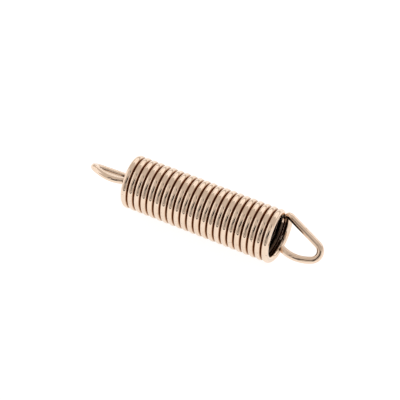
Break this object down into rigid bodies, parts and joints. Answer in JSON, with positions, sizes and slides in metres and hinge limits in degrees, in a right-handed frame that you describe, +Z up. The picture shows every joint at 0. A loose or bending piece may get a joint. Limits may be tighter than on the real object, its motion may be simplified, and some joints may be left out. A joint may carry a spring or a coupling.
{
  "type": "extension spring",
  "caption": "Close-wound extension spring of round copper-tinted wire, with an extended rounded V-shaped loop at each end.",
  "frame": {"origin": "centre of the bounding box's underside, below the coil's axis; the spring lies on its side on z = 0", "axes": "+X along the coil's axis towards the near loop, +Z up"},
  "size_m": [0.0892, 0.019, 0.019],
  "materials": {
    "wire": "bright copper-washed spring steel, polished"
  },
  "bodies": {
    "loop_far": {"loop_far": "wire"},
    "half_turn_01": {"half_turn_01": "wire"},
    "half_turn_02": {"half_turn_02": "wire"},
    "half_turn_03": {"half_turn_03": "wire"},
    "half_turn_04": {"half_turn_04": "wire"},
    "half_turn_05": {"half_turn_05": "wire"},
    "half_turn_06": {"half_turn_06": "wire"},
    "half_turn_07": {"half_turn_07": "wire"},
    "half_turn_08": {"half_turn_08": "wire"},
    "half_turn_09": {"half_turn_09": "wire"},
    "half_turn_10": {"half_turn_10": "wire"},
    "half_turn_11": {"half_turn_11": "wire"},
    "half_turn_12": {"half_turn_12": "wire"},
    "half_turn_13": {"half_turn_13": "wire"},
    "half_turn_14": {"half_turn_14": "wire"},
    "half_turn_15": {"half_turn_15": "wire"},
    "half_turn_16": {"half_turn_16": "wire"},
    "half_turn_17": {"half_turn_17": "wire"},
    "half_turn_18": {"half_turn_18": "wire"},
    "half_turn_19": {"half_turn_19": "wire"},
    "half_turn_20": {"half_turn_20": "wire"},
    "half_turn_21": {"half_turn_21": "wire"},
    "half_turn_22": {"half_turn_22": "wire"},
    "half_turn_23": {"half_turn_23": "wire"},
    "half_turn_24": {"half_turn_24": "wire"},
    "half_turn_25": {"half_turn_25": "wire"},
    "half_turn_26": {"half_turn_26": "wire"},
    "half_turn_27": {"half_turn_27": "wire"},
    "half_turn_28": {"half_turn_28": "wire"},
    "half_turn_29": {"half_turn_29": "wire"},
    "half_turn_30": {"half_turn_30": "wire"},
    "half_turn_31": {"half_turn_31": "wire"},
    "half_turn_32": {"half_turn_32": "wire"},
    "half_turn_33": {"half_turn_33": "wire"},
    "half_turn_34": {"half_turn_34": "wire"},
    "half_turn_35": {"half_turn_35": "wire"},
    "half_turn_36": {"half_turn_36": "wire"},
    "half_turn_37": {"half_turn_37": "wire"},
    "half_turn_38": {"half_turn_38": "wire"},
    "half_turn_39": {"half_turn_39": "wire"},
    "half_turn_40": {"half_turn_40": "wire"},
    "half_turn_41": {"half_turn_41": "wire"},
    "half_turn_42": {"half_turn_42": "wire"},
    "half_turn_43": {"half_turn_43": "wire"},
    "half_turn_44": {"half_turn_44": "wire"},
    "loop_near": {"loop_near": "wire"}
  },
  "joints": [
    {"name": "twist_01", "type": "hinge", "parent": "loop_far", "child": "half_turn_01", "pos_m": [-0.02835, 0.00825, 0.0095], "axis": [0, 0, 1], "range_deg": [0, 5], "stiffness_Nm_per_rad": 11.69, "springref_deg": -0.75},
    {"name": "twist_02", "type": "hinge", "parent": "half_turn_01", "child": "half_turn_02", "pos_m": [-0.02707, -0.00825, 0.0095], "axis": [0, 0, 1], "range_deg": [-10, 0], "stiffness_Nm_per_rad": 11.69, "springref_deg": 1.5},
    {"name": "twist_03", "type": "hinge", "parent": "half_turn_02", "child": "half_turn_03", "pos_m": [-0.02579, 0.00825, 0.0095], "axis": [0, 0, 1], "range_deg": [0, 10], "stiffness_Nm_per_rad": 11.69, "springref_deg": -1.5},
    {"name": "twist_04", "type": "hinge", "parent": "half_turn_03", "child": "half_turn_04", "pos_m": [-0.02451, -0.00825, 0.0095], "axis": [0, 0, 1], "range_deg": [-10, 0], "stiffness_Nm_per_rad": 11.69, "springref_deg": 1.5},
    {"name": "twist_05", "type": "hinge", "parent": "half_turn_04", "child": "half_turn_05", "pos_m": [-0.02323, 0.00825, 0.0095], "axis": [0, 0, 1], "range_deg": [0, 10], "stiffness_Nm_per_rad": 11.69, "springref_deg": -1.5},
    {"name": "twist_06", "type": "hinge", "parent": "half_turn_05", "child": "half_turn_06", "pos_m": [-0.02195, -0.00825, 0.0095], "axis": [0, 0, 1], "range_deg": [-10, 0], "stiffness_Nm_per_rad": 11.69, "springref_deg": 1.5},
    {"name": "twist_07", "type": "hinge", "parent": "half_turn_06", "child": "half_turn_07", "pos_m": [-0.02067, 0.00825, 0.0095], "axis": [0, 0, 1], "range_deg": [0, 10], "stiffness_Nm_per_rad": 11.69, "springref_deg": -1.5},
    {"name": "twist_08", "type": "hinge", "parent": "half_turn_07", "child": "half_turn_08", "pos_m": [-0.01939, -0.00825, 0.0095], "axis": [0, 0, 1], "range_deg": [-10, 0], "stiffness_Nm_per_rad": 11.69, "springref_deg": 1.5},
    {"name": "twist_09", "type": "hinge", "parent": "half_turn_08", "child": "half_turn_09", "pos_m": [-0.01811, 0.00825, 0.0095], "axis": [0, 0, 1], "range_deg": [0, 10], "stiffness_Nm_per_rad": 11.69, "springref_deg": -1.5},
    {"name": "twist_10", "type": "hinge", "parent": "half_turn_09", "child": "half_turn_10", "pos_m": [-0.01683, -0.00825, 0.0095], "axis": [0, 0, 1], "range_deg": [-10, 0], "stiffness_Nm_per_rad": 11.69, "springref_deg": 1.5},
    {"name": "twist_11", "type": "hinge", "parent": "half_turn_10", "child": "half_turn_11", "pos_m": [-0.01555, 0.00825, 0.0095], "axis": [0, 0, 1], "range_deg": [0, 10], "stiffness_Nm_per_rad": 11.69, "springref_deg": -1.5},
    {"name": "twist_12", "type": "hinge", "parent": "half_turn_11", "child": "half_turn_12", "pos_m": [-0.01427, -0.00825, 0.0095], "axis": [0, 0, 1], "range_deg": [-10, 0], "stiffness_Nm_per_rad": 11.69, "springref_deg": 1.5},
    {"name": "twist_13", "type": "hinge", "parent": "half_turn_12", "child": "half_turn_13", "pos_m": [-0.01299, 0.00825, 0.0095], "axis": [0, 0, 1], "range_deg": [0, 10], "stiffness_Nm_per_rad": 11.69, "springref_deg": -1.5},
    {"name": "twist_14", "type": "hinge", "parent": "half_turn_13", "child": "half_turn_14", "pos_m": [-0.01171, -0.00825, 0.0095], "axis": [0, 0, 1], "range_deg": [-10, 0], "stiffness_Nm_per_rad": 11.69, "springref_deg": 1.5},
    {"name": "twist_15", "type": "hinge", "parent": "half_turn_14", "child": "half_turn_15", "pos_m": [-0.01043, 0.00825, 0.0095], "axis": [0, 0, 1], "range_deg": [0, 10], "stiffness_Nm_per_rad": 11.69, "springref_deg": -1.5},
    {"name": "twist_16", "type": "hinge", "parent": "half_turn_15", "child": "half_turn_16", "pos_m": [-0.00915, -0.00825, 0.0095], "axis": [0, 0, 1], "range_deg": [-10, 0], "stiffness_Nm_per_rad": 11.69, "springref_deg": 1.5},
    {"name": "twist_17", "type": "hinge", "parent": "half_turn_16", "child": "half_turn_17", "pos_m": [-0.00787, 0.00825, 0.0095], "axis": [0, 0, 1], "range_deg": [0, 10], "stiffness_Nm_per_rad": 11.69, "springref_deg": -1.5},
    {"name": "twist_18", "type": "hinge", "parent": "half_turn_17", "child": "half_turn_18", "pos_m": [-0.00659, -0.00825, 0.0095], "axis": [0, 0, 1], "range_deg": [-10, 0], "stiffness_Nm_per_rad": 11.69, "springref_deg": 1.5},
    {"name": "twist_19", "type": "hinge", "parent": "half_turn_18", "child": "half_turn_19", "pos_m": [-0.00531, 0.00825, 0.0095], "axis": [0, 0, 1], "range_deg": [0, 10], "stiffness_Nm_per_rad": 11.69, "springref_deg": -1.5},
    {"name": "twist_20", "type": "hinge", "parent": "half_turn_19", "child": "half_turn_20", "pos_m": [-0.00403, -0.00825, 0.0095], "axis": [0, 0, 1], "range_deg": [-10, 0], "stiffness_Nm_per_rad": 11.69, "springref_deg": 1.5},
    {"name": "twist_21", "type": "hinge", "parent": "half_turn_20", "child": "half_turn_21", "pos_m": [-0.00275, 0.00825, 0.0095], "axis": [0, 0, 1], "range_deg": [0, 10], "stiffness_Nm_per_rad": 11.69, "springref_deg": -1.5},
    {"name": "twist_22", "type": "hinge", "parent": "half_turn_21", "child": "half_turn_22", "pos_m": [-0.00147, -0.00825, 0.0095], "axis": [0, 0, 1], "range_deg": [-10, 0], "stiffness_Nm_per_rad": 11.69, "springref_deg": 1.5},
    {"name": "twist_23", "type": "hinge", "parent": "half_turn_22", "child": "half_turn_23", "pos_m": [-0.00019, 0.00825, 0.0095], "axis": [0, 0, 1], "range_deg": [0, 10], "stiffness_Nm_per_rad": 11.69, "springref_deg": -1.5},
    {"name": "twist_24", "type": "hinge", "parent": "half_turn_23", "child": "half_turn_24", "pos_m": [0.00109, -0.00825, 0.0095], "axis": [0, 0, 1], "range_deg": [-10, 0], "stiffness_Nm_per_rad": 11.69, "springref_deg": 1.5},
    {"name": "twist_25", "type": "hinge", "parent": "half_turn_24", "child": "half_turn_25", "pos_m": [0.00237, 0.00825, 0.0095], "axis": [0, 0, 1], "range_deg": [0, 10], "stiffness_Nm_per_rad": 11.69, "springref_deg": -1.5},
    {"name": "twist_26", "type": "hinge", "parent": "half_turn_25", "child": "half_turn_26", "pos_m": [0.00365, -0.00825, 0.0095], "axis": [0, 0, 1], "range_deg": [-10, 0], "stiffness_Nm_per_rad": 11.69, "springref_deg": 1.5},
    {"name": "twist_27", "type": "hinge", "parent": "half_turn_26", "child": "half_turn_27", "pos_m": [0.00493, 0.00825, 0.0095], "axis": [0, 0, 1], "range_deg": [0, 10], "stiffness_Nm_per_rad": 11.69, "springref_deg": -1.5},
    {"name": "twist_28", "type": "hinge", "parent": "half_turn_27", "child": "half_turn_28", "pos_m": [0.00621, -0.00825, 0.0095], "axis": [0, 0, 1], "range_deg": [-10, 0], "stiffness_Nm_per_rad": 11.69, "springref_deg": 1.5},
    {"name": "twist_29", "type": "hinge", "parent": "half_turn_28", "child": "half_turn_29", "pos_m": [0.00749, 0.00825, 0.0095], "axis": [0, 0, 1], "range_deg": [0, 10], "stiffness_Nm_per_rad": 11.69, "springref_deg": -1.5},
    {"name": "twist_30", "type": "hinge", "parent": "half_turn_29", "child": "half_turn_30", "pos_m": [0.00877, -0.00825, 0.0095], "axis": [0, 0, 1], "range_deg": [-10, 0], "stiffness_Nm_per_rad": 11.69, "springref_deg": 1.5},
    {"name": "twist_31", "type": "hinge", "parent": "half_turn_30", "child": "half_turn_31", "pos_m": [0.01005, 0.00825, 0.0095], "axis": [0, 0, 1], "range_deg": [0, 10], "stiffness_Nm_per_rad": 11.69, "springref_deg": -1.5},
    {"name": "twist_32", "type": "hinge", "parent": "half_turn_31", "child": "half_turn_32", "pos_m": [0.01133, -0.00825, 0.0095], "axis": [0, 0, 1], "range_deg": [-10, 0], "stiffness_Nm_per_rad": 11.69, "springref_deg": 1.5},
    {"name": "twist_33", "type": "hinge", "parent": "half_turn_32", "child": "half_turn_33", "pos_m": [0.01261, 0.00825, 0.0095], "axis": [0, 0, 1], "range_deg": [0, 10], "stiffness_Nm_per_rad": 11.69, "springref_deg": -1.5},
    {"name": "twist_34", "type": "hinge", "parent": "half_turn_33", "child": "half_turn_34", "pos_m": [0.01389, -0.00825, 0.0095], "axis": [0, 0, 1], "range_deg": [-10, 0], "stiffness_Nm_per_rad": 11.69, "springref_deg": 1.5},
    {"name": "twist_35", "type": "hinge", "parent": "half_turn_34", "child": "half_turn_35", "pos_m": [0.01517, 0.00825, 0.0095], "axis": [0, 0, 1], "range_deg": [0, 10], "stiffness_Nm_per_rad": 11.69, "springref_deg": -1.5},
    {"name": "twist_36", "type": "hinge", "parent": "half_turn_35", "child": "half_turn_36", "pos_m": [0.01645, -0.00825, 0.0095], "axis": [0, 0, 1], "range_deg": [-10, 0], "stiffness_Nm_per_rad": 11.69, "springref_deg": 1.5},
    {"name": "twist_37", "type": "hinge", "parent": "half_turn_36", "child": "half_turn_37", "pos_m": [0.01773, 0.00825, 0.0095], "axis": [0, 0, 1], "range_deg": [0, 10], "stiffness_Nm_per_rad": 11.69, "springref_deg": -1.5},
    {"name": "twist_38", "type": "hinge", "parent": "half_turn_37", "child": "half_turn_38", "pos_m": [0.01901, -0.00825, 0.0095], "axis": [0, 0, 1], "range_deg": [-10, 0], "stiffness_Nm_per_rad": 11.69, "springref_deg": 1.5},
    {"name": "twist_39", "type": "hinge", "parent": "half_turn_38", "child": "half_turn_39", "pos_m": [0.02029, 0.00825, 0.0095], "axis": [0, 0, 1], "range_deg": [0, 10], "stiffness_Nm_per_rad": 11.69, "springref_deg": -1.5},
    {"name": "twist_40", "type": "hinge", "parent": "half_turn_39", "child": "half_turn_40", "pos_m": [0.02157, -0.00825, 0.0095], "axis": [0, 0, 1], "range_deg": [-10, 0], "stiffness_Nm_per_rad": 11.69, "springref_deg": 1.5},
    {"name": "twist_41", "type": "hinge", "parent": "half_turn_40", "child": "half_turn_41", "pos_m": [0.02285, 0.00825, 0.0095], "axis": [0, 0, 1], "range_deg": [0, 10], "stiffness_Nm_per_rad": 11.69, "springref_deg": -1.5},
    {"name": "twist_42", "type": "hinge", "parent": "half_turn_41", "child": "half_turn_42", "pos_m": [0.02413, -0.00825, 0.0095], "axis": [0, 0, 1], "range_deg": [-10, 0], "stiffness_Nm_per_rad": 11.69, "springref_deg": 1.5},
    {"name": "twist_43", "type": "hinge", "parent": "half_turn_42", "child": "half_turn_43", "pos_m": [0.02541, 0.00825, 0.0095], "axis": [0, 0, 1], "range_deg": [0, 10], "stiffness_Nm_per_rad": 11.69, "springref_deg": -1.5},
    {"name": "twist_44", "type": "hinge", "parent": "half_turn_43", "child": "half_turn_44", "pos_m": [0.02669, -0.00825, 0.0095], "axis": [0, 0, 1], "range_deg": [-10, 0], "stiffness_Nm_per_rad": 11.69, "springref_deg": 1.5},
    {"name": "twist_45", "type": "hinge", "parent": "half_turn_44", "child": "loop_near", "pos_m": [0.02797, 0.00825, 0.0095], "axis": [0, 0, 1], "range_deg": [0, 5], "stiffness_Nm_per_rad": 11.69, "springref_deg": -0.75}
  ],
  "couplings": [
    {"joint": "twist_02", "follows": "twist_01", "ratio": -2},
    {"joint": "twist_03", "follows": "twist_01", "ratio": 2},
    {"joint": "twist_04", "follows": "twist_01", "ratio": -2},
    {"joint": "twist_05", "follows": "twist_01", "ratio": 2},
    {"joint": "twist_06", "follows": "twist_01", "ratio": -2},
    {"joint": "twist_07", "follows": "twist_01", "ratio": 2},
    {"joint": "twist_08", "follows": "twist_01", "ratio": -2},
    {"joint": "twist_09", "follows": "twist_01", "ratio": 2},
    {"joint": "twist_10", "follows": "twist_01", "ratio": -2},
    {"joint": "twist_11", "follows": "twist_01", "ratio": 2},
    {"joint": "twist_12", "follows": "twist_01", "ratio": -2},
    {"joint": "twist_13", "follows": "twist_01", "ratio": 2},
    {"joint": "twist_14", "follows": "twist_01", "ratio": -2},
    {"joint": "twist_15", "follows": "twist_01", "ratio": 2},
    {"joint": "twist_16", "follows": "twist_01", "ratio": -2},
    {"joint": "twist_17", "follows": "twist_01", "ratio": 2},
    {"joint": "twist_18", "follows": "twist_01", "ratio": -2},
    {"joint": "twist_19", "follows": "twist_01", "ratio": 2},
    {"joint": "twist_20", "follows": "twist_01", "ratio": -2},
    {"joint": "twist_21", "follows": "twist_01", "ratio": 2},
    {"joint": "twist_22", "follows": "twist_01", "ratio": -2},
    {"joint": "twist_23", "follows": "twist_01", "ratio": 2},
    {"joint": "twist_24", "follows": "twist_01", "ratio": -2},
    {"joint": "twist_25", "follows": "twist_01", "ratio": 2},
    {"joint": "twist_26", "follows": "twist_01", "ratio": -2},
    {"joint": "twist_27", "follows": "twist_01", "ratio": 2},
    {"joint": "twist_28", "follows": "twist_01", "ratio": -2},
    {"joint": "twist_29", "follows": "twist_01", "ratio": 2},
    {"joint": "twist_30", "follows": "twist_01", "ratio": -2},
    {"joint": "twist_31", "follows": "twist_01", "ratio": 2},
    {"joint": "twist_32", "follows": "twist_01", "ratio": -2},
    {"joint": "twist_33", "follows": "twist_01", "ratio": 2},
    {"joint": "twist_34", "follows": "twist_01", "ratio": -2},
    {"joint": "twist_35", "follows": "twist_01", "ratio": 2},
    {"joint": "twist_36", "follows": "twist_01", "ratio": -2},
    {"joint": "twist_37", "follows": "twist_01", "ratio": 2},
    {"joint": "twist_38", "follows": "twist_01", "ratio": -2},
    {"joint": "twist_39", "follows": "twist_01", "ratio": 2},
    {"joint": "twist_40", "follows": "twist_01", "ratio": -2},
    {"joint": "twist_41", "follows": "twist_01", "ratio": 2},
    {"joint": "twist_42", "follows": "twist_01", "ratio": -2},
    {"joint": "twist_43", "follows": "twist_01", "ratio": 2},
    {"joint": "twist_44", "follows": "twist_01", "ratio": -2},
    {"joint": "twist_45", "follows": "twist_01", "ratio": 1}
  ]
}
